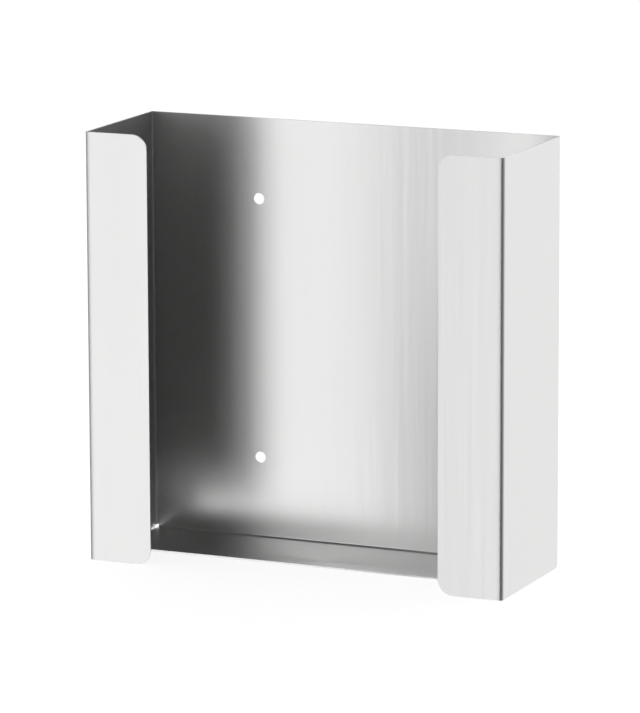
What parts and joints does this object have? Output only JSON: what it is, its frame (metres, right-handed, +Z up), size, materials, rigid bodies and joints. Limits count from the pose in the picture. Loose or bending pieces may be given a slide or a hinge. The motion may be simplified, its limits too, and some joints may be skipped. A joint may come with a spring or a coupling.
{
  "type": "disposable glove dispenser",
  "caption": "Open-fronted wall rack folded from one stainless sheet, with side lips, a shelf and screw holes, for cartons of disposable gloves.",
  "frame": {"origin": "centre of the rectangle of screw holes, on the rear face that lies against the wall", "axes": "+Z up, +Y out of the rear face into the wall, so the open front faces -Y, and +X to the right seen from the front"},
  "size_m": [0.25, 0.086, 0.244],
  "materials": {
    "brushed_steel": "stainless steel with a fine vertical grain, satin, bare cut edges"
  },
  "bodies": {
    "root": {"dispenser_body": "brushed_steel"}
  },
  "joints": []
}
